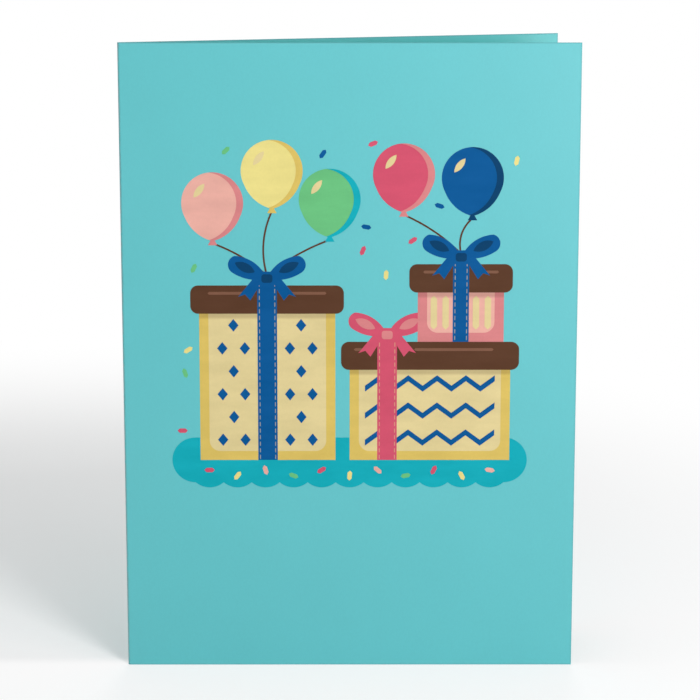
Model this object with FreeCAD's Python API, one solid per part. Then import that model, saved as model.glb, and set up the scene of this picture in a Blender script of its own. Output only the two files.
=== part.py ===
"""A pop up birthday card, standing on its lower edges and opened a little at its fold.

The cover is one sheet of card, scored and folded once. Inside it a round two-tier cake is built from ten
flat slices that interlock with half-lap slots. Five slices run parallel to the back panel and are glued to
the front panel, and five run parallel to the front panel and are glued to the back panel, so the grid of
slices shears flat as the card closes and squares up as it opens. Six card candles are glued to the cake.
The picture on the front panel is a generic scene of presents and balloons, as thin fields of ink, one node
for each ink.

All lengths are in millimetres. The work is done in the fold's own frame: X runs along the front panel from
the fold, Y points from the front panel to the back panel, Z is up and the table is at Z = 0.
"""
import FreeCAD, Part
import math
import os

Vector = FreeCAD.Vector

# The folded cover
cover_width = 127.0
cover_height = 177.8
cover_thickness = 0.4
fold_inner_radius = 0.3
opening_angle = 14.4

# The card stock of the slices, and how they are glued in
slice_thickness = 0.25
slot_clearance = 0.3
glue_tab_length = 8.0
glue_tab_corner = 1.5
arm_height = 11.0
arm_margin = 2.5

# The cake that the slices make, as an upright round solid cut into a square grid
cake_centre = 33.0
cake_bottom = 10.0
slices_each_way = 5
slice_pitch = 10.0
board_radius = 27.0
board_height = 3.0
lower_tier_radius = 25.5
lower_tier_height = 36.0
upper_tier_radius = 16.5
upper_tier_height = 28.0
icing_corner_radius = 1.6

# The candles
candle_width = 2.2
candle_glued_length = 9.0
candle_free_length = 13.0
flame_width = 2.8
flame_height = 5.5
flame_shoulder = 2.2
flame_neck = 0.9

# The printed picture. Places are across from the panel's middle line and up from the mat's lower edge.
ink_thickness = 0.04
picture_bottom = 54.0
mat_half_width = 50.0
mat_height = 13.0
mat_scallops = 11
scallop_depth = 1.5
presents_rise = 6.5
tall_present = dict(middle=-23.0, width=38.0, height=42.0, ribbon_middle=-23.0, ribbon_width=5.5)
wide_present = dict(middle=22.5, width=45.0, height=26.0, ribbon_middle=10.5, ribbon_width=5.5)
small_present = dict(middle=31.0, width=24.0, height=14.0, ribbon_middle=31.0, ribbon_width=4.5)
face_inset = 2.6
face_corner_radius = 3.0
lid_height = 8.0
lid_overhang = 2.4
lid_corner_radius = 2.2
bow_size = 8.5
bow_loop_rise = 26
diamond_width = 2.9
diamond_height = 3.6
diamond_pitch = 6.3
zigzag_rows = 3
zigzag_turns = 9
zigzag_width = 1.7
zigzag_swing = 1.5
stripe_width = 1.8
stripe_pitch = 3.3
shine_width = 0.8
pink_balloon = dict(across=-38.0, height=79.0)
green_balloon = dict(across=-5.5, height=80.0)
lemon_balloon = dict(across=-21.5, height=88.0)
magenta_balloon = dict(across=15.0, height=87.0)
blue_balloon = dict(across=34.0, height=86.0)
balloon_half_width = 8.2
balloon_shade_width = 1.9
glint_rise = 52
string_width = 0.5
confetti_length = 2.9
confetti_width = 1.25
confetti_clearance = 1.6
confetti_low = 15.0
confetti_high = 98.0
confetti_half_spread = 47.0
confetti_tries = 60
confetti_turn = 53

fold_outer_radius = fold_inner_radius + cover_thickness
panel_length = cover_width - fold_outer_radius
opening = math.radians(opening_angle)
along_front = Vector(1, 0, 0)
along_back = Vector(math.cos(opening), math.sin(opening), 0)
back_normal = Vector(-math.sin(opening), math.cos(opening), 0)
bisector = Vector(math.cos(opening / 2), math.sin(opening / 2), 0)
up = Vector(0, 0, 1)
print_side = Vector(0, -1, 0)

# The row frame has its origin under the middle of the card's bounding box, on the table.
front_limit = -fold_outer_radius - 2 * ink_thickness
back_limit = (along_back * panel_length + back_normal * fold_outer_radius).y
row_origin = Vector((panel_length - fold_outer_radius) / 2, (front_limit + back_limit) / 2, 0)


def line(start, end):
    return Part.LineSegment(start, end).toShape()


def arc(start, middle, end):
    return Part.Arc(start, middle, end).toShape()


def write_node(name, shapes):
    """Moves the solids from the fold's frame to the row frame and writes them as one node."""
    solids = [solid for shape in shapes for solid in shape.Solids]
    node = solids[0] if len(solids) == 1 else Part.makeCompound(solids)
    node = node.copy()
    node.translate(row_origin * -1)
    node.exportStep("parts/" + name + ".step")


# The cover: a flat sheet folded round a score line

def folded_cover():
    """One sheet whose section is two straight panels joined by an arc at the fold."""
    fold_middle = bisector * -1
    front_edge = along_front * panel_length
    back_edge = along_back * panel_length
    outer, inner = fold_outer_radius, fold_inner_radius
    section = Part.Wire([
        line(print_side * outer, print_side * outer + front_edge),
        line(print_side * outer + front_edge, print_side * inner + front_edge),
        line(print_side * inner + front_edge, print_side * inner),
        arc(print_side * inner, fold_middle * inner, back_normal * inner),
        line(back_normal * inner, back_normal * inner + back_edge),
        line(back_normal * inner + back_edge, back_normal * outer + back_edge),
        line(back_normal * outer + back_edge, back_normal * outer),
        arc(back_normal * outer, fold_middle * outer, print_side * outer),
    ])
    return Part.Face(section).extrude(up * cover_height)


# The grid of slices. Places in it are a distance along the front panel and one along the back panel, both
# measured from the corner where the middles of the two rows of glue tabs would meet.

grid_corner = bisector * ((slice_thickness / 2 - fold_inner_radius) / math.sin(opening / 2))
slice_offsets = [slice_pitch * (i - (slices_each_way - 1) / 2) for i in range(slices_each_way)]
lower_tier_bottom = cake_bottom + board_height
lower_tier_top = lower_tier_bottom + lower_tier_height
upper_tier_top = lower_tier_top + upper_tier_height
tiers = [
    (board_radius, cake_bottom, lower_tier_bottom),
    (lower_tier_radius, lower_tier_bottom, lower_tier_top),
    (upper_tier_radius, lower_tier_top, upper_tier_top),
]
# A slice crosses the other family at the opening angle, so it needs a slot longer than its thickness.
crossing_half = slice_thickness / 2 * (1 / math.sin(opening) + 1 / math.tan(opening))
slot_half = crossing_half + slot_clearance / 2


def half_chord(radius, offset):
    """Half the width of a round tier where a slice cuts it, or 0 where the slice misses it."""
    return math.sqrt(max(0.0, radius ** 2 - offset ** 2))


def top_where_crossing(offset_a, offset_b):
    """Height of the cake where two slices cross, or None where they don't meet."""
    tops = [top for radius, bottom, top in tiers
            if abs(offset_a) < half_chord(radius, offset_b) + slot_half
            and abs(offset_b) < half_chord(radius, offset_a) + slot_half]
    return max(tops) if tops else None


def is_glued(offset):
    """The second slice from each end of a family is the one that reaches the cover."""
    return abs(abs(offset) - abs(slice_offsets[1])) < slice_pitch / 4


def upright_plate(left, bottom, right, top, thickness):
    """A plate in a slice's own plane: X along it from its glue tab, Z up, its thickness centred on Y."""
    return Part.makeBox(right - left, thickness, top - bottom, Vector(left, -thickness / 2, bottom))


def tier_plate(half_width, bottom, top, corner_radius):
    """The part of a slice that lies in one tier, with its two upper corners rounded."""
    left, right = cake_centre - half_width, cake_centre + half_width
    if corner_radius <= 0:
        return upright_plate(left, bottom, right, top, slice_thickness)
    radius = min(corner_radius, half_width / 2)
    diagonal = radius * (1 - math.sqrt(0.5))

    def point(x, z):
        return Vector(x, -slice_thickness / 2, z)

    outline = Part.Wire([
        line(point(left, bottom), point(right, bottom)),
        line(point(right, bottom), point(right, top - radius)),
        arc(point(right, top - radius), point(right - diagonal, top - diagonal), point(right - radius, top)),
        line(point(right - radius, top), point(left + radius, top)),
        arc(point(left + radius, top), point(left + diagonal, top - diagonal), point(left, top - radius)),
        line(point(left, top - radius), point(left, bottom)),
    ])
    return Part.Face(outline).extrude(Vector(0, slice_thickness, 0))


def glued_arm(arm_end, bottom, side):
    """A strip from the cover to the cake, bent at the cover into a flap that is glued towards the fold.

    side is 1 for a slice glued to the front panel and -1 for one glued to the back panel.
    """
    half = slice_thickness / 2
    flap_normal = Vector(side * math.sin(opening), math.cos(opening), 0)
    flap_end = Vector(-math.cos(opening), side * math.sin(opening), 0) * glue_tab_length
    mitre = Vector(side * math.tan(opening / 2), 1, 0) * half
    section = Part.makePolygon([
        flap_end + flap_normal * half, mitre, Vector(arm_end, half, 0), Vector(arm_end, -half, 0),
        mitre * -1, flap_end - flap_normal * half, flap_end + flap_normal * half,
    ])
    strip = Part.Face(section).extrude(up * arm_height)
    strip.translate(up * bottom)
    # The flap's two free corners are cut off, as on any glue tab.
    corners = []
    for level, inward in ((bottom, 1), (bottom + arm_height, -1)):
        tip = Vector(flap_end.x, -glue_tab_length, level)
        triangle = Part.makePolygon([
            tip, tip + Vector(glue_tab_corner, 0, 0), tip + Vector(0, 0, inward * glue_tab_corner), tip,
        ])
        corners.append(Part.Face(triangle).extrude(Vector(0, 2 * glue_tab_length, 0)))
    return strip.cut(corners)


def slice_outline(offset, side):
    """A whole slice before its slots are cut."""
    plates = []
    for radius, bottom, top in tiers:
        half_width = half_chord(radius, offset)
        if half_width > slot_half:
            corner_radius = icing_corner_radius if bottom > cake_bottom else 0
            plates.append(tier_plate(half_width, bottom, top, corner_radius))
    if is_glued(offset):
        # The arm leaves the half of the lower tier that has no slots: the lower half on the front family.
        reach = cake_centre - half_chord(lower_tier_radius, offset)
        arm_bottom = lower_tier_bottom + arm_margin if side > 0 else lower_tier_top - arm_margin - arm_height
        plates.append(glued_arm(reach + arm_margin, arm_bottom, side))
    return plates[0].fuse(plates[1:]).removeSplitter()


def slice_slots(offset, side):
    """Half-lap slots, from the top on the front family and from the bottom on the back family."""
    slots = []
    for crossed in slice_offsets:
        top = top_where_crossing(offset, crossed)
        if top is None:
            continue
        middle = (cake_bottom + top) / 2
        low, high = (middle, upper_tier_top + 1) if side > 0 else (cake_bottom - 1, middle)
        place = cake_centre + crossed
        slots.append(upright_plate(place - slot_half, low, place + slot_half, high, 2 * slice_thickness))
    return slots


def set_in_card(plate, offset, side):
    """Carries a plate from its own plane to its place between the panels."""
    plate = plate.copy()
    if side > 0:
        plate.rotate(Vector(0, 0, 0), up, opening_angle)
        plate.translate(grid_corner + along_front * (cake_centre + offset))
    else:
        plate.translate(grid_corner + along_back * (cake_centre + offset))
    return plate


def cake_slice(offset, side):
    return set_in_card(slice_outline(offset, side).cut(slice_slots(offset, side)), offset, side)


def candle(gap_start):
    """A strip of card with a flame cut at its top, glued to one face of a slice between two slots."""
    # Behind the slice's face the crossing slices lie nearer to the fold, so the free gap is off centre.
    glued_face, free_face = slice_thickness / 2, slice_thickness * 3 / 2
    gap_low = gap_start - glued_face / math.tan(opening) + glued_face / math.sin(opening)
    gap_high = gap_start + slice_pitch - free_face / math.tan(opening) - glued_face / math.sin(opening)
    middle = cake_centre + (gap_low + gap_high) / 2
    foot = upper_tier_top - candle_glued_length
    tip = upper_tier_top + candle_free_length
    shoulder = tip + flame_shoulder
    neck = flame_neck / 2

    def point(x, z):
        return Vector(middle + x, glued_face, z)

    outline = Part.Wire([
        line(point(-candle_width / 2, foot), point(candle_width / 2, foot)),
        line(point(candle_width / 2, foot), point(candle_width / 2, tip)),
        line(point(candle_width / 2, tip), point(neck, tip)),
        arc(point(neck, tip), point(flame_width / 2, shoulder), point(0, tip + flame_height)),
        arc(point(0, tip + flame_height), point(-flame_width / 2, shoulder), point(-neck, tip)),
        line(point(-neck, tip), point(-candle_width / 2, tip)),
        line(point(-candle_width / 2, tip), point(-candle_width / 2, foot)),
    ])
    return Part.Face(outline).extrude(Vector(0, slice_thickness, 0))


# Shapes of the picture

def on_panel(across, height):
    """A place in the picture, on the front panel's outer face."""
    return Vector(cover_width / 2 - fold_outer_radius + across, -fold_outer_radius, picture_bottom + height)


def turned(face, across, height, degrees):
    face = face.copy()
    face.rotate(on_panel(across, height), print_side, degrees)
    return face


def rounded_field(left, bottom, right, top, radius):
    """A rectangle with rounded corners."""
    skew = radius * (1 - math.sqrt(0.5))
    return Part.Face(Part.Wire([
        line(on_panel(left + radius, bottom), on_panel(right - radius, bottom)),
        arc(on_panel(right - radius, bottom), on_panel(right - skew, bottom + skew),
            on_panel(right, bottom + radius)),
        line(on_panel(right, bottom + radius), on_panel(right, top - radius)),
        arc(on_panel(right, top - radius), on_panel(right - skew, top - skew), on_panel(right - radius, top)),
        line(on_panel(right - radius, top), on_panel(left + radius, top)),
        arc(on_panel(left + radius, top), on_panel(left + skew, top - skew), on_panel(left, top - radius)),
        line(on_panel(left, top - radius), on_panel(left, bottom + radius)),
        arc(on_panel(left, bottom + radius), on_panel(left + skew, bottom + skew),
            on_panel(left + radius, bottom)),
    ]))


def straight_field(places):
    """A closed outline of straight sides."""
    return Part.Face(Part.makePolygon([on_panel(*place) for place in places + places[:1]]))


def upright_field(left, bottom, right, top):
    return straight_field([(left, bottom), (right, bottom), (right, top), (left, top)])


def bar(across, height, length, width, degrees=0):
    """A short bar with pointed ends."""
    end, shoulder, half = length / 2, (length - width) / 2, width / 2
    field = straight_field([
        (across - end, height), (across - shoulder, height - half), (across + shoulder, height - half),
        (across + end, height), (across + shoulder, height + half), (across - shoulder, height + half),
    ])
    return turned(field, across, height, degrees)


def diamond(across, height):
    half_width, half_height = diamond_width / 2, diamond_height / 2
    return straight_field([
        (across - half_width, height), (across, height - half_height),
        (across + half_width, height), (across, height + half_height),
    ])


def lens(across, height, length, width, degrees):
    """Two equal arcs that meet in points."""
    end, half = length / 2, width / 2
    left, right = on_panel(across - end, height), on_panel(across + end, height)
    field = Part.Face(Part.Wire([
        arc(left, on_panel(across, height - half), right),
        arc(right, on_panel(across, height + half), left),
    ]))
    return turned(field, across, height, degrees)


def round_sided_field(places):
    """A closed outline of arcs: every second place is a corner, and the one between is on the arc."""
    return Part.Face(Part.Wire([arc(*[on_panel(*place) for place in places[n:n + 3]])
                                for n in range(0, len(places) - 1, 2)]))


def arc_stroke(start, middle, end, width):
    """A line of even width along an arc through three places."""
    places = [on_panel(*place) for place in (start, middle, end)]
    centre = arc(*places).Curve.Center
    radius = (places[0] - centre).Length
    inner, outer = [[centre + (place - centre) * ((radius + shift) / radius) for place in places]
                    for shift in (-width / 2, width / 2)]
    return Part.Face(Part.Wire([
        arc(*inner), line(inner[2], outer[2]), arc(outer[2], outer[1], outer[0]), line(outer[0], inner[0]),
    ]))


def zigzag(left, right, height):
    """A level band that steps up and down by straight runs."""
    step = (right - left) / zigzag_turns
    upper = [(left + n * step, height + (zigzag_swing if n % 2 else -zigzag_swing) + zigzag_width / 2)
             for n in range(zigzag_turns + 1)]
    lower = [(across, level - zigzag_width) for across, level in reversed(upper)]
    return straight_field(upper + lower)


# The picture itself

class Picture:
    """Fields of ink, laid down in order.

    A painted field takes the place of everything that it covers. A small detail is printed over its ground
    instead, as a second layer of ink.
    """

    def __init__(self):
        self.fields = []

    def paint(self, ink, face):
        self.fields.append((ink, face, 0))

    def overprint(self, ink, face):
        self.fields.append((ink, face, 1))

    def is_clear(self, face, clearance):
        """Tells whether a face keeps a clearance from everything laid down so far."""
        near = face.BoundBox
        near.enlarge(clearance)
        return not any(near.intersect(other.BoundBox) and face.distToShape(other)[0] < clearance
                       for _, other, _ in self.fields)

    def solids_by_ink(self):
        """What is left to see of each field, as thin solids on the panel's outer face."""
        found = {}
        for n, (ink, face, layer) in enumerate(self.fields):
            above = [other for _, other, over in self.fields[n + 1:]
                     if not over and other.BoundBox.intersect(face.BoundBox)]
            seen = face.cut(above) if above else face
            for part in seen.Faces:
                film = part.extrude(print_side * ink_thickness)
                film.translate(print_side * (layer * ink_thickness))
                found.setdefault(ink, []).append(film)
        return found


def paint_mat(picture):
    """A long mat under the presents, with a scalloped front edge."""
    end_radius = mat_height / 2
    straight = mat_half_width - end_radius
    step = 2 * straight / mat_scallops
    edges = [
        arc(on_panel(straight, 0), on_panel(mat_half_width, end_radius), on_panel(straight, mat_height)),
        line(on_panel(straight, mat_height), on_panel(-straight, mat_height)),
        arc(on_panel(-straight, mat_height), on_panel(-mat_half_width, end_radius), on_panel(-straight, 0)),
    ]
    for n in range(mat_scallops):
        left = -straight + n * step
        low = on_panel(left + step / 2, -scallop_depth)
        edges.append(arc(on_panel(left, 0), low, on_panel(left + step, 0)))
    picture.paint("teal", Part.Face(Part.Wire(edges)))


def print_diamonds(picture, ink, left, right, bottom, top, ribbon_left, ribbon_right):
    """Diamonds in staggered rows, clear of the ribbon."""
    columns = int((right - left) / diamond_pitch) + 1
    rows = int((top - bottom) / diamond_pitch)
    row_step = (top - bottom) / rows
    for row in range(rows):
        for column in range(-columns, columns):
            across = (ribbon_left + ribbon_right) / 2 + (column + 0.5 * (row % 2)) * diamond_pitch
            inside = left + diamond_width < across < right - diamond_width
            beside = across < ribbon_left - diamond_width or across > ribbon_right + diamond_width
            if inside and beside:
                picture.overprint(ink, diamond(across, bottom + (row + 0.5) * row_step))


def print_zigzags(picture, ink, left, right, bottom, top, ribbon_left, ribbon_right):
    """Level zigzags in rows, behind the ribbon."""
    for row in range(zigzag_rows):
        height = bottom + (row + 0.5) * (top - bottom) / zigzag_rows
        picture.overprint(ink, zigzag(left + zigzag_width, right - zigzag_width, height))


def print_stripes(picture, ink, left, right, bottom, top, ribbon_left, ribbon_right):
    """Upright stripes on both sides of the ribbon."""
    length = top - bottom - stripe_width
    for start, end, away in ((ribbon_left, left, -1), (ribbon_right, right, 1)):
        for n in range(int((end - start) * away / stripe_pitch)):
            across = start + away * (n + 0.6) * stripe_pitch
            picture.overprint(ink, bar(across, (bottom + top) / 2, length, stripe_width, 90))


def paint_bow(picture, across, foot, size, ink, shade_ink):
    """Two tails and two loops round a knot."""
    for side in (-1, 1):
        def at(x, z):
            return (across + side * x * size, foot + z * size)

        picture.paint(ink, straight_field([
            at(0.05, 0.3), at(0.55, -0.5), at(0.72, -0.3), at(0.95, -0.38), at(0.35, 0.35),
        ]))
        picture.paint(ink, round_sided_field([
            at(0, 0.22), at(0.45, 0.78), at(1.05, 0.98), at(1.27, 0.72), at(1.12, 0.42), at(0.55, 0.2),
            at(0, 0.22),
        ]))
        picture.overprint(shade_ink, lens(*at(0.72, 0.6), 0.72 * size, 0.3 * size, side * bow_loop_rise))
    knot, knot_top = 0.27 * size, foot + 0.46 * size
    rim = 0.09 * size
    picture.paint(ink, upright_field(across - knot, foot, across + knot, knot_top))
    picture.overprint(shade_ink, rounded_field(across - knot + rim, foot + rim, across + knot - rim,
                                               knot_top - rim, rim))


def lid_top_of(present, bottom):
    return bottom + present["height"] + lid_height


def paint_present(picture, bottom, inks, print_pattern, middle, width, height, ribbon_middle, ribbon_width):
    """A wrapped box with a lid that stands out at both sides, a ribbon round it and a bow on top."""
    rim_ink, face_ink, lid_ink, shine_ink, pattern_ink, ribbon_ink, bow_ink = inks
    left, right, top = middle - width / 2, middle + width / 2, bottom + height
    lid_top = top + lid_height
    face_left, face_right, face_bottom = left + face_inset, right - face_inset, bottom + face_inset
    ribbon_left, ribbon_right = ribbon_middle - ribbon_width / 2, ribbon_middle + ribbon_width / 2
    picture.paint(rim_ink, upright_field(left, bottom, right, top))
    picture.paint(face_ink, rounded_field(face_left, face_bottom, face_right, top + face_corner_radius,
                                          face_corner_radius))
    print_pattern(picture, pattern_ink, face_left, face_right, face_bottom, top, ribbon_left, ribbon_right)
    picture.paint(lid_ink, rounded_field(left - lid_overhang, top, right + lid_overhang, lid_top,
                                         lid_corner_radius))
    shine_height = lid_top - lid_corner_radius
    for start, end in ((left, ribbon_left), (ribbon_right, right)):
        picture.overprint(shine_ink, bar((start + end) / 2, shine_height, (end - start) * 0.7, shine_width))
    picture.paint(ribbon_ink, upright_field(ribbon_left, bottom, ribbon_right, lid_top))
    paint_bow(picture, ribbon_middle, lid_top, bow_size, ribbon_ink, bow_ink)


def balloon_outline(across, height):
    """A round crown on a body that narrows to its foot."""
    def at(x, z):
        return (across + x * balloon_half_width, height + z * balloon_half_width)

    return round_sided_field([
        at(0.93, -0.4), at(0, 1.12), at(-0.93, -0.4), at(-0.57, -0.92), at(0, -1.22), at(0.57, -0.92),
        at(0.93, -0.4),
    ])


def paint_balloon(picture, tie, ink, shade_ink, across, height):
    """A balloon with a knot, a glint, a darker side, and a string to the place where it is tied."""
    width = balloon_half_width
    foot = height - 1.3 * width
    sway = math.copysign(0.2 * width, tie[0] - across)
    bend = ((across + tie[0]) / 2 + sway, (foot + tie[1]) / 2)
    knot = 0.16 * width
    picture.paint("brown", arc_stroke((across, foot), bend, tie, string_width))
    picture.paint(shade_ink, straight_field([(across, foot + 1.4 * knot), (across - knot, foot - 0.4 * knot),
                                             (across + knot, foot - 0.4 * knot)]))
    whole = balloon_outline(across, height)
    picture.paint(ink, whole)
    picture.overprint(shade_ink, whole.cut(balloon_outline(across - balloon_shade_width, height)).Faces[0])
    picture.overprint("cream", lens(across - 0.44 * width, height + 0.5 * width, 0.6 * width, 0.22 * width,
                                    glint_rise))


def paint_confetti(picture):
    """Short bars of ink strewn about the presents and balloons, wherever there is room."""
    inks = ("magenta", "lemon", "green", "blue")
    painted = 0
    for n in range(confetti_tries):
        # Two steps with no common measure spread the places evenly without a pattern.
        across = (2 * (n * 0.7549 % 1) - 1) * confetti_half_spread
        height = confetti_low + (n * 0.5698 % 1) * (confetti_high - confetti_low)
        scrap = bar(across, height, confetti_length, confetti_width, n * confetti_turn)
        if picture.is_clear(scrap, confetti_clearance):
            picture.paint(inks[painted % len(inks)], scrap)
            painted += 1


def print_mat_confetti(picture):
    """Like bars in a row along the mat, one over each scallop."""
    inks = ("magenta", "lemon", "pink", "green")
    step = (2 * mat_half_width - mat_height) / mat_scallops
    for n in range(mat_scallops):
        across = (n + 0.5 - mat_scallops / 2) * step
        height = presents_rise * (0.3 if n % 2 else 0.55)
        picture.overprint(inks[n % len(inks)],
                          bar(across, height, confetti_length, confetti_width, n * confetti_turn))


def front_picture():
    """Presents on a mat with balloons tied to them, in simple shapes and flat inks."""
    picture = Picture()
    paint_mat(picture)
    print_mat_confetti(picture)
    small_bottom = lid_top_of(wide_present, presents_rise)
    bow_middle = bow_size / 3
    tall_tie = (tall_present["ribbon_middle"], lid_top_of(tall_present, presents_rise) + bow_middle)
    small_tie = (small_present["ribbon_middle"], lid_top_of(small_present, small_bottom) + bow_middle)
    paint_balloon(picture, tall_tie, "pink", "rose", **pink_balloon)
    paint_balloon(picture, tall_tie, "green", "teal", **green_balloon)
    paint_balloon(picture, tall_tie, "lemon", "gold", **lemon_balloon)
    paint_balloon(picture, small_tie, "magenta", "rose", **magenta_balloon)
    paint_balloon(picture, small_tie, "blue", "navy", **blue_balloon)
    paint_present(picture, presents_rise, ("gold", "cream", "brown", "cocoa", "blue", "blue", "navy"),
                  print_diamonds, **tall_present)
    paint_present(picture, presents_rise, ("gold", "cream", "brown", "cocoa", "blue", "magenta", "rose"),
                  print_zigzags, **wide_present)
    paint_present(picture, small_bottom, ("rose", "pink", "brown", "cocoa", "cream", "blue", "navy"),
                  print_stripes, **small_present)
    paint_confetti(picture)
    return picture


def main():
    os.makedirs("parts", exist_ok=True)
    write_node("cover", [folded_cover()])
    for side, family in ((1, "front"), (-1, "back")):
        for number, offset in enumerate(slice_offsets, 1):
            write_node(f"{family}_glued_slice_{number}", [cake_slice(offset, side)])
    number = 0
    for offset in slice_offsets[1:-1]:
        for gap_start in (-slice_pitch, 0.0):
            number += 1
            write_node(f"candle_{number}", [set_in_card(candle(gap_start), offset, 1)])
    for ink, solids in front_picture().solids_by_ink().items():
        write_node("print_" + ink, solids)


main()
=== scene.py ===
import math

import bpy
import bmesh
from mathutils import Euler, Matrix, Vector


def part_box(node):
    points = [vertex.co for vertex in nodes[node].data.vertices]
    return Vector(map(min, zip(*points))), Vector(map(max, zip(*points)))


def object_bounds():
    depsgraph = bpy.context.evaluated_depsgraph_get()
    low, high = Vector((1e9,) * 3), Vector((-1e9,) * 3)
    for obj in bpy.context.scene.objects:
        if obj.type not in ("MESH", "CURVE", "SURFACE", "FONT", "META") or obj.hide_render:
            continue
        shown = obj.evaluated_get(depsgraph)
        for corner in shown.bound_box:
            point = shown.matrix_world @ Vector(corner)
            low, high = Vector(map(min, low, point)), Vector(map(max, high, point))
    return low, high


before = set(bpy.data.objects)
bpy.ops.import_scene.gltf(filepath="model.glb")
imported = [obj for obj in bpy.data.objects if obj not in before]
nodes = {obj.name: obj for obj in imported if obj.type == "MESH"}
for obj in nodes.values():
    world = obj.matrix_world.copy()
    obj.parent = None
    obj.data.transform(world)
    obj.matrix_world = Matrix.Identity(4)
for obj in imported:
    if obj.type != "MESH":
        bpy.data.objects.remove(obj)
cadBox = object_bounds()
print("card loaded,", len(nodes), "pieces")

white = (1.0, 1.0, 1.0, 1.0)
colourCurve = {"straightTo": 0.04045, "slope": 12.92, "shift": 0.055, "power": 2.4}     # that of sRGB


def linear(hexColour):  # a colour as a designer writes it, to the values a shader takes
    channels = []
    for start in (0, 2, 4):
        value = int(hexColour[start:start + 2], 16) / 255
        if value <= colourCurve["straightTo"]:
            channels.append(value / colourCurve["slope"])
        else:
            shift = colourCurve["shift"]
            channels.append(((value + shift) / (1 + shift)) ** colourCurve["power"])
    return (*channels, 1.0)


def shaded(colour, factor, lift=0.0):
    return (*(min(1.0, channel * factor + lift) for channel in colour[:3]), 1.0)


# Small helpers for wiring materials. All patterns read Object coordinates, which are metres here.

def newMaterial(name):
    material = bpy.data.materials.new(name)
    material.use_nodes = True
    material.node_tree.nodes.clear()
    return material, material.node_tree


def addNode(tree, kind, **sockets):
    node = tree.nodes.new("ShaderNode" + kind)
    for name, value in sockets.items():
        if name in node.inputs:
            node.inputs[name].default_value = value
        else:
            setattr(node, name, value)
    return node


def math2(tree, operation, first, second=0.0):
    node = addNode(tree, "Math", operation=operation)
    for socket, value in zip(node.inputs, (first, second)):
        if isinstance(value, (int, float)):
            socket.default_value = value
        else:
            tree.links.new(value, socket)
    return node.outputs[0]


def largest(tree, values):
    result = values[0]
    for value in values[1:]:
        result = math2(tree, "MAXIMUM", result, value)
    return result


def ramp(tree, value, start, end, top=1.0, shape="LINEAR"):  # from 0 at start to top at end
    node = addNode(tree, "MapRange", interpolation_type=shape)
    for name, number in (("From Min", start), ("From Max", end), ("To Max", top)):
        node.inputs[name].default_value = number
    tree.links.new(value, node.inputs["Value"])
    return node.outputs[0]


def above(tree, value, low, soft):  # 1 where value is above low, with a soft end
    return ramp(tree, value, low - soft, low + soft)


def below(tree, value, high, soft):  # 1 where value is below high, with a soft end
    return ramp(tree, value, high + soft, high - soft)


def band(tree, value, low, high, soft):  # 1 where value lies between low and high, with soft ends
    return math2(tree, "MULTIPLY", above(tree, value, low, soft), below(tree, value, high, soft))


def mixColour(tree, factor, first, second, blend="MIX"):
    node = addNode(tree, "Mix", data_type="RGBA", blend_type=blend)
    for name, kind, value in (("Factor", "VALUE", factor), ("A", "RGBA", first), ("B", "RGBA", second)):
        socket = next(one for one in node.inputs if one.name == name and one.type == kind)
        if hasattr(value, "links"):
            tree.links.new(value, socket)
        else:
            socket.default_value = value
    return next(one for one in node.outputs if one.type == "RGBA")


def mixToOutput(tree, kind, factor, first, second):  # two shaders mixed into a material's or a world's output
    mix = addNode(tree, "MixShader")
    for socket, value in zip(mix.inputs, (factor, first, second)):
        tree.links.new(value, socket)
    output = addNode(tree, kind)
    tree.links.new(mix.outputs[0], output.inputs["Surface"])


def noise(tree, coordinates, scale, detail, roughness=0.55, stretch=None):  # scale is in cells to the metre
    if stretch:
        mapping = addNode(tree, "Mapping", Scale=stretch)
        tree.links.new(coordinates, mapping.inputs["Vector"])
        coordinates = mapping.outputs[0]
    node = addNode(tree, "TexNoise", Scale=scale, Detail=detail, Roughness=roughness)
    tree.links.new(coordinates, node.inputs["Vector"])
    return node.outputs[0]


def partsOf(tree, vector):
    split = addNode(tree, "SeparateXYZ")
    tree.links.new(vector, split.inputs[0])
    return split.outputs


def objectPlace(tree):
    coordinates = addNode(tree, "TexCoord").outputs["Object"]
    return coordinates, partsOf(tree, coordinates)


def facingY(tree):  # how far a face looks along y, from -1 to 1
    return partsOf(tree, addNode(tree, "NewGeometry").outputs["True Normal"])["Y"]


# Card of any kind: faint fibres and clouds in its colour, and fibres in its relief

paper = {
    "fibres": {"scale": 2600.0, "detail": 4.0, "roughness": 0.6, "stretch": (1.0, 1.0, 0.55)},
    "clouds": {"scale": 45.0, "detail": 2.0},
    "fibreTint": 0.05,
    "cloudTint": 0.03,
    "specular": 0.4,
    "bumpHeight": 0.000012,
    "bumpStrength": 0.35,
}


def unevenShade(tree, pattern, tint):  # from 1 - tint to 1 + tint as the pattern goes from 0 to 1
    shade = math2(tree, "MULTIPLY_ADD", pattern, 2 * tint)
    shade.node.inputs[2].default_value = 1 - tint
    return shade


def paperShader(tree, coordinates, colour, roughness,
                fibreTint=paper["fibreTint"], specular=paper["specular"]):
    fibres = noise(tree, coordinates, **paper["fibres"])
    clouds = noise(tree, coordinates, **paper["clouds"])
    shade = math2(tree, "MULTIPLY", unevenShade(tree, fibres, fibreTint),
                  unevenShade(tree, clouds, paper["cloudTint"]))
    grey = addNode(tree, "CombineColor")
    for socket in grey.inputs:
        tree.links.new(shade, socket)
    tinted = mixColour(tree, 1.0, colour, grey.outputs[0], "MULTIPLY")
    surface = addNode(tree, "BsdfPrincipled", Roughness=roughness)
    surface.inputs["Specular IOR Level"].default_value = specular
    tree.links.new(tinted, surface.inputs["Base Color"])
    relief = addNode(tree, "Bump", Strength=paper["bumpStrength"], Distance=paper["bumpHeight"])
    tree.links.new(fibres, relief.inputs["Height"])
    tree.links.new(relief.outputs[0], surface.inputs["Normal"])
    output = addNode(tree, "OutputMaterial")
    tree.links.new(surface.outputs[0], output.inputs["Surface"])
    return surface


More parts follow.
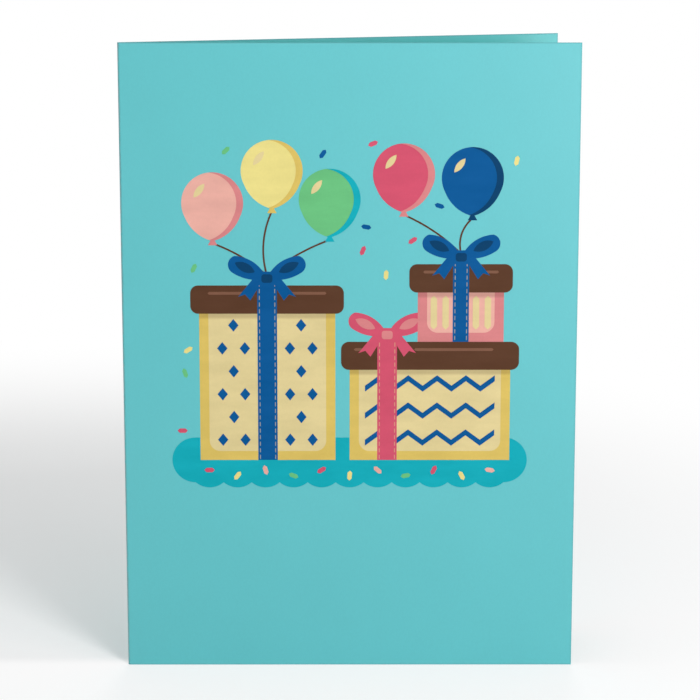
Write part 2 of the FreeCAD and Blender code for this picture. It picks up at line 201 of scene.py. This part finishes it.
# The cover: turquoise card, a little greyer and without shine along its cut edges, and worn along the fold

cover = {
    "colour": "57BABD",
    # painted bounce light: the inside faces are a greener turquoise, as light bounced between the panels
    # tints them
    "insidePaintedBounce": "54BBBA",
    "edgeColour": "64AFB2",
    "foldColour": "79B0B4",
    "edgeWidth": 0.00024,
    "foldWidth": 0.0004,
    "wear": {"scale": 700.0, "detail": 2.0},
    "wornAbove": 0.42,
    "wornSoft": 0.1,
    "frontDepth": 0.0006,       # from the front's outer face to just behind its inner one
    "roughness": 0.36,
    "specular": 0.5,
}


def coverMaterial():
    low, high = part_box("cover")
    middle = (low + high) / 2
    backEdge = max(corner.co.x for corner in nodes["cover"].data.vertices if corner.co.y > middle.y)
    material, tree = newMaterial("turquoise card")
    coordinates, (x, y, z) = objectPlace(tree)

    width = cover["edgeWidth"]
    awayZ = math2(tree, "ABSOLUTE", math2(tree, "SUBTRACT", z, middle.z))
    atEnds = above(tree, awayZ, (high.z - low.z) / 2 - width, width / 2)
    atFrontSide = above(tree, x, high.x - width, width / 2)
    atBackSide = math2(tree, "MULTIPLY", above(tree, x, backEdge - width, width / 2),
                       math2(tree, "GREATER_THAN", y, middle.y))
    edge = largest(tree, [atEnds, atFrontSide, atBackSide])

    wear = above(tree, noise(tree, coordinates, **cover["wear"]), cover["wornAbove"], cover["wornSoft"])
    atFold = below(tree, x, low.x + cover["foldWidth"], cover["foldWidth"] / 2)
    fold = math2(tree, "MULTIPLY", atFold, wear)

    behindFront = math2(tree, "SUBTRACT", y, low.y + cover["frontDepth"])
    outward = math2(tree, "MULTIPLY", facingY(tree), math2(tree, "SIGN", behindFront))
    outside = math2(tree, "GREATER_THAN", outward, 0.0)

    # the inside faces take the painted bounce-light colour, the outside ones the card's own colour
    face = mixColour(tree, outside, linear(cover["insidePaintedBounce"]), linear(cover["colour"]))
    plain = mixColour(tree, fold, face, linear(cover["foldColour"]))
    colour = mixColour(tree, edge, plain, linear(cover["edgeColour"]))
    surface = paperShader(tree, coordinates, colour, cover["roughness"])
    shine = math2(tree, "MULTIPLY", math2(tree, "SUBTRACT", 1.0, edge), cover["specular"])
    tree.links.new(shine, surface.inputs["Specular IOR Level"])
    return material


# The print: each ink keeps the card's fibres and varies a little, as a wide brush leaves it. The picture's
# places are measured on the inks' own fields: the lids are the brown ones, and each is parted by its ribbon.

inks = {
    "teal": "0DA1AC", "gold": "CCB45C", "cream": "D1C38C", "brown": "533624", "cocoa": "765340",
    "blue": "00518A", "navy": "003A60", "pink": "D9A496", "rose": "C87C7C", "magenta": "C34E65",
    "green": "63B576", "lemon": "D9CF80",
}
inkFinish = {
    "roughness": 0.5,
    "specular": 0.06,
    "fibreTint": 0.04,
    "brush": {"scale": 130.0, "detail": 4.0, "roughness": 0.6, "stretch": (0.5, 1.0, 1.6)},
    "thinAbove": 0.5,           # where the brush's noise passes this, the ink is thinner and paler
    "thinSoft": 0.16,
    "thinTint": 0.1,
    "thinLift": 0.002,
}
lid = {
    "height": 0.008,
    "tolerance": 0.0001,
    "narrowest": 0.008,
    "weld": 0.000001,
    "levelDigits": 4,           # of its height in metres, to tell the lids at one level
}
lidShadow = {
    "inks": ("gold", "cream", "pink", "lemon", "rose"),
    "depth": 0.0013,
    "soft": 0.0004,
    "strength": 0.3,
}
ribbonStitch = {
    "inks": ("blue", "magenta"),
    "colour": "D1C38C",
    "fromEdge": 0.0006,
    "width": 0.00022,
    "pitch": 0.0019,
    "length": 0.62,             # both of these are shares of the pitch
    "endSoft": 0.06,
    "strength": 0.5,
}


def fieldBoxes(name):  # the lowest and highest corner of every separate field of an ink
    shape = bmesh.new()
    shape.from_mesh(nodes["print_" + name].data)
    bmesh.ops.remove_doubles(shape, verts=shape.verts, dist=lid["weld"])
    waiting = set(shape.verts)
    boxes = []
    while waiting:
        reached = [waiting.pop()]
        for corner in reached:
            linked = {edge.other_vert(corner) for edge in corner.link_edges} & waiting
            waiting -= linked
            reached.extend(linked)
        places = [corner.co for corner in reached]
        boxes.append([Vector(pick(place[axis] for place in places) for axis in range(3))
                      for pick in (min, max)])
    shape.free()
    return boxes


def findRibbons():  # for each lid: its box, and the ribbon's left, right and lower end
    parts = [(low, high) for low, high in fieldBoxes("brown")
             if abs(high.z - low.z - lid["height"]) < lid["tolerance"] and high.x - low.x > lid["narrowest"]]
    parts.sort(key=lambda part: (round(part[0].z, lid["levelDigits"]), part[0].x))
    found = []
    for left, right in zip(parts[::2], parts[1::2]):
        found.append({"low": left[0], "high": right[1], "from": left[1].x, "to": right[0].x})
    for one in found:
        under = [other["high"].z for other in found
                 if other["high"].z <= one["low"].z and other["low"].x < one["from"] < other["high"].x]
        one["foot"] = max(under, default=0.0)
    return found


ribbons = findRibbons()


def lidShade(tree, x, z):
    shades = []
    for one in ribbons:
        under = band(tree, z, one["low"].z - lidShadow["depth"], one["high"].z, lidShadow["soft"])
        across = band(tree, x, one["low"].x, one["high"].x, lidShadow["soft"])
        shades.append(math2(tree, "MULTIPLY", under, across))
    return math2(tree, "MULTIPLY", largest(tree, shades), lidShadow["strength"])


def stitching(tree, x, z):
    dash = band(tree, math2(tree, "FRACT", math2(tree, "DIVIDE", z, ribbonStitch["pitch"])),
                0.0, ribbonStitch["length"], ribbonStitch["endSoft"])
    half = ribbonStitch["width"] / 2
    stitches = []
    for one in ribbons:
        along = band(tree, z, one["foot"], one["high"].z, half)
        for seam in (one["from"] + ribbonStitch["fromEdge"], one["to"] - ribbonStitch["fromEdge"]):
            stitches.append(math2(tree, "MULTIPLY", along, band(tree, x, seam - half, seam + half, half / 2)))
    return math2(tree, "MULTIPLY", math2(tree, "MULTIPLY", largest(tree, stitches), dash),
                 ribbonStitch["strength"])


def inkMaterial(name, hexColour):
    material, tree = newMaterial(name + " ink")
    coordinates, place = objectPlace(tree)
    x, z = place["X"], place["Z"]
    strokes = noise(tree, coordinates, **inkFinish["brush"])
    thinness = above(tree, strokes, inkFinish["thinAbove"], inkFinish["thinSoft"])
    full = linear(hexColour)
    thin = shaded(full, 1 + inkFinish["thinTint"], inkFinish["thinLift"])
    colour = mixColour(tree, thinness, full, thin)
    if name in lidShadow["inks"]:
        colour = mixColour(tree, lidShade(tree, x, z), colour, linear(inks["brown"]))
    if name in ribbonStitch["inks"]:
        colour = mixColour(tree, stitching(tree, x, z), colour, linear(ribbonStitch["colour"]))
    paperShader(tree, coordinates, colour, inkFinish["roughness"],
                fibreTint=inkFinish["fibreTint"], specular=inkFinish["specular"])
    return material


# The cake's slices: printed with sponge, icing that drips at the top of each tier, and a board

cake = {
    "sponge": {"front": "F0E2B4", "back": "74503E"},
    "icing": {"front": "5E4136", "back": "F2A9A2"},
    "board": "1BA3B2",
    "core": "F4EEDC",
    "roughness": 0.6,
    "edgeFacing": 0.6,          # a face that looks less than this along y is a cut edge
    "printSoft": 0.00006,
    "icingDepth": 0.0052,
    "dripDepth": 0.0022,
    "dripPace": 1300.0,         # radians to the metre
    "slowerDrip": 0.37,
    "crumbs": {"scale": 900.0, "detail": 3.0},
    "crumbAbove": 0.56,
    "crumbSoft": 0.04,
    "crumbShade": 0.88,
    "boardHeight": 0.003,
}


def cutEdge(tree):  # 1 on the faces of a slice that look along it, and 0 on its printed faces
    return math2(tree, "LESS_THAN", math2(tree, "ABSOLUTE", facingY(tree)), cake["edgeFacing"])


def sliceMaterial(family):
    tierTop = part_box(family + "_glued_slice_1")[1].z
    low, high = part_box(family + "_glued_slice_3")
    material, tree = newMaterial(family + " slice card")
    coordinates, place = objectPlace(tree)
    x, z = place["X"], place["Z"]

    wave = math2(tree, "SINE", math2(tree, "MULTIPLY", x, cake["dripPace"]))
    uneven = math2(tree, "SINE", math2(tree, "MULTIPLY", x, cake["dripPace"] * cake["slowerDrip"]))
    drip = math2(tree, "MULTIPLY", math2(tree, "ADD", wave, uneven), cake["dripDepth"] / 2)
    hanging = math2(tree, "ADD", z, drip)
    soft = cake["printSoft"]
    lowerIcing = band(tree, hanging, tierTop - cake["icingDepth"], tierTop + cake["dripDepth"], soft)
    upperIcing = above(tree, hanging, high.z - cake["icingDepth"], soft)
    board = below(tree, z, low.z + cake["boardHeight"], soft)
    crumb = above(tree, noise(tree, coordinates, **cake["crumbs"]), cake["crumbAbove"], cake["crumbSoft"])

    sponge = linear(cake["sponge"][family])
    body = mixColour(tree, crumb, sponge, shaded(sponge, cake["crumbShade"]))
    iced = largest(tree, [lowerIcing, upperIcing])
    dressed = mixColour(tree, iced, body, linear(cake["icing"][family]))
    printed = mixColour(tree, board, dressed, linear(cake["board"]))
    colour = mixColour(tree, cutEdge(tree), printed, linear(cake["core"]))
    paperShader(tree, coordinates, colour, cake["roughness"])
    return material


# The candles: striped card with a printed flame

candle = {
    "colours": ["D8446D", "5FC474", "F4AAA1"] * 2,
    "stripe": "FBF6E6",
    "stripesInMetre": 520.0,
    "stripeAbove": 0.5,
    "stripeSoft": 0.04,
    "flame": "F7D24A",
    "flameHeart": "F2913D",
    "flameHeight": 0.0055,
    "flameSoft": 0.00005,
    "heartShare": 0.42,
    "heartSoft": 0.0004,
    "roughness": 0.55,
}


def candleMaterial(name, hexColour):
    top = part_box(name)[1].z
    material, tree = newMaterial(name + " card")
    coordinates, place = objectPlace(tree)
    x, z = place["X"], place["Z"]
    twist = math2(tree, "MULTIPLY", math2(tree, "ADD", z, x), candle["stripesInMetre"])
    stripe = above(tree, math2(tree, "FRACT", twist), candle["stripeAbove"], candle["stripeSoft"])
    wax = mixColour(tree, stripe, linear(hexColour), linear(candle["stripe"]))
    flameFoot = top - candle["flameHeight"]
    heartTop = flameFoot + candle["flameHeight"] * candle["heartShare"]
    heart = band(tree, z, flameFoot, heartTop, candle["heartSoft"])
    fire = mixColour(tree, heart, linear(candle["flame"]), linear(candle["flameHeart"]))
    colour = mixColour(tree, above(tree, z, flameFoot, candle["flameSoft"]), wax, fire)
    paperShader(tree, coordinates, colour, candle["roughness"])
    return material


def dress(node, material):
    node.data.materials.clear()
    node.data.materials.append(material)


def dressCard():
    dress(nodes["cover"], coverMaterial())
    for name, hexColour in inks.items():
        dress(nodes["print_" + name], inkMaterial(name, hexColour))
    for family in ("front", "back"):
        material = sliceMaterial(family)
        for number in range(1, 6):
            dress(nodes[family + "_glued_slice_" + str(number)], material)
    for number, hexColour in enumerate(candle["colours"], 1):
        name = "candle_" + str(number)
        dress(nodes[name], candleMaterial(name, hexColour))
    print("card, print, slices and candles dressed")


# The floor: matt for its shadows, and pure white where the photograph's background is

floor = {
    "halfSize": 4.0,
    "bounceColour": (0.7, 0.7, 0.7, 1.0),
    "shadowMiddle": (0.10, -0.12, 0.0),     # added: the white is measured from behind the card, to its left
    "whiteFrom": 0.12,
    "whiteTo": 0.33,
    "frontFrom": -0.009,        # in front of the card the floor partly glows nearly white again: painted light over the card's coloured bounce
    "frontTo": -0.017,
    "frontWhite": 0.62,
}


def seenRays(tree):  # 1 for what the camera sees, straight or in a glossy or clear surface
    rays = addNode(tree, "LightPath").outputs
    mirrored = math2(tree, "MAXIMUM", rays["Is Glossy Ray"], rays["Is Transmission Ray"])
    return math2(tree, "MAXIMUM", rays["Is Camera Ray"], mirrored)


def floorMaterial():
    material, tree = newMaterial("studio floor")
    coordinates, place = objectPlace(tree)
    seen = seenRays(tree)
    matt = addNode(tree, "BsdfDiffuse")
    tree.links.new(mixColour(tree, seen, floor["bounceColour"], white), matt.inputs["Color"])
    glow = addNode(tree, "Emission", Color=white, Strength=1.0)
    fromShadow = addNode(tree, "VectorMath", operation="ADD")
    fromShadow.inputs[1].default_value = floor["shadowMiddle"]
    tree.links.new(coordinates, fromShadow.inputs[0])
    away = addNode(tree, "VectorMath", operation="LENGTH")
    tree.links.new(fromShadow.outputs[0], away.inputs[0])
    far = ramp(tree, away.outputs["Value"], floor["whiteFrom"], floor["whiteTo"], shape="SMOOTHSTEP")
    # painted light: in front of the card the floor partly glows white, over the card's coloured bounce light
    # there
    front = ramp(tree, place["Y"], floor["frontFrom"], floor["frontTo"], floor["frontWhite"], "SMOOTHSTEP")
    glowing = math2(tree, "MULTIPLY", largest(tree, [far, front]), seen)
    mixToOutput(tree, "OutputMaterial", glowing, matt.outputs[0], glow.outputs[0])
    return material


def makeFloor():
    shape = bmesh.new()
    bmesh.ops.create_grid(shape, x_segments=1, y_segments=1, size=floor["halfSize"])
    mesh = bpy.data.meshes.new("floor")
    shape.to_mesh(mesh)
    shape.free()
    plane = bpy.data.objects.new("floor", mesh)
    bpy.context.scene.collection.objects.link(plane)
    dress(plane, floorMaterial())


# The light: a key from the right and front, a cooler one beside it, a low one whose sheen the front panel
# shows, one overhead, one behind the card, and an even room

lamps = {
    "key": {"place": (0.2265, -0.486, 0.51), "size": 0.15, "power": 1.5, "colour": (1.0, 1.0, 0.98)},
    "right": {"place": (0.60, -0.55, 0.25), "size": 0.4, "power": 1.2, "colour": (0.94, 0.96, 1.0)},
    "sheen": {"place": (0.36, -0.90, 0.10), "size": 0.34, "power": 3.2, "colour": (1.0, 0.86, 0.98)},
    "overhead": {"place": (0.05, 0.15, 1.5), "size": 1.2, "power": 2.8, "colour": (1.0, 1.0, 1.0)},
    "behind": {"place": (0.10, 1.10, 0.42), "size": 0.36, "power": 4.4, "colour": (1.0, 1.0, 1.0)},
}
room = {"level": 0.42, "backdrop": 1.0}


def addLamp(name, place, size, power, colour):
    lamp = bpy.data.lights.new(name, "AREA")
    lamp.shape = "SQUARE"
    lamp.size = size
    lamp.energy = power
    lamp.color = colour
    holder = bpy.data.objects.new(name, lamp)
    bpy.context.scene.collection.objects.link(holder)
    low, high = cadBox
    target = (Vector(low) + Vector(high)) / 2
    holder.location = place
    holder.rotation_euler = (target - Vector(place)).to_track_quat("-Z", "Y").to_euler()


def lightRoom():
    world = bpy.data.worlds.new("room")
    bpy.context.scene.world = world
    world.use_nodes = True
    tree = world.node_tree
    tree.nodes.clear()
    ambient = addNode(tree, "Background", Color=white, Strength=room["level"])
    backdrop = addNode(tree, "Background", Color=white, Strength=room["backdrop"])
    mixToOutput(tree, "OutputWorld", seenRays(tree), ambient.outputs[0], backdrop.outputs[0])
    for name, settings in lamps.items():
        addLamp(name, **settings)
    print("room lit")


# The camera: almost square on to the front panel, from a little above the card

camera = {
    "lens": 130.12,             # mm, as the sensor's width
    "sensor": 36.0,
    "across": -0.00038,
    "fromPanel": 0.69304,
    "height": 0.23507,
    "pitchDown": 11.651,        # degrees, as the turn
    "turn": -0.04,
}


def placeCamera():
    data = bpy.data.cameras.new("camera")
    data.lens = camera["lens"]
    data.sensor_width = camera["sensor"]
    holder = bpy.data.objects.new("camera", data)
    bpy.context.scene.collection.objects.link(holder)
    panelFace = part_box("cover")[0].y
    holder.location = (camera["across"], panelFace - camera["fromPanel"], camera["height"])
    holder.rotation_euler = Euler((math.radians(90 - camera["pitchDown"]), 0, math.radians(camera["turn"])))
    bpy.context.scene.camera = holder
    print("camera placed")


dressCard()
makeFloor()
lightRoom()
placeCamera()
bpy.context.scene.view_settings.view_transform = "Standard"
